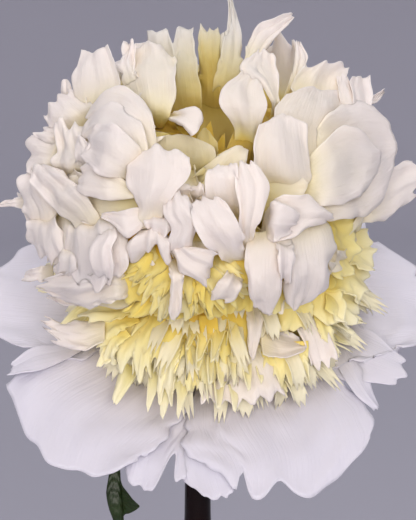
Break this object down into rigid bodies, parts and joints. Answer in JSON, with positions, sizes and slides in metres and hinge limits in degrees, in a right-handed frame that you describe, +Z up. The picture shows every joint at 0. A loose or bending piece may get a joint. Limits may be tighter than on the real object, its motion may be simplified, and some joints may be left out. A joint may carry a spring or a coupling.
{
  "type": "peony in a bud vase",
  "caption": "Cut bomb-form peony with broad guard petals, a yellow petaloid collar and a ruffled white crown, standing in a slim bottle-shaped bud vase of water.",
  "frame": {"origin": "centre of the vase's flat foot, on the surface it rests on", "axes": "+Z up along the vase's axis, -Y towards the viewer and the way the bloom leans, +X to the viewer's right"},
  "size_m": [0.2107, 0.2073, 0.3933],
  "materials": {
    "vase_glaze": "near-black brown gloss glaze",
    "water": "clear liquid",
    "stem": "smooth green stalk",
    "leaf": "dark green, slightly glossy blade",
    "calyx": "green sepals with a pale edge",
    "guard_petal": "white with a faint lilac grey, soft and thin",
    "yellow_petaloid": "yellow, deep gold at the foot and pale at the tip",
    "crown_petal": "white with a faint pink, cream at the foot"
  },
  "bodies": {
    "root": {"vase": "vase_glaze", "water": "water", "stem": "stem", "leaf": "leaf", "calyx": "calyx", "guard_petals": "guard_petal", "yellow_petaloids": "yellow_petaloid", "crown_petals": "crown_petal"}
  },
  "joints": []
}
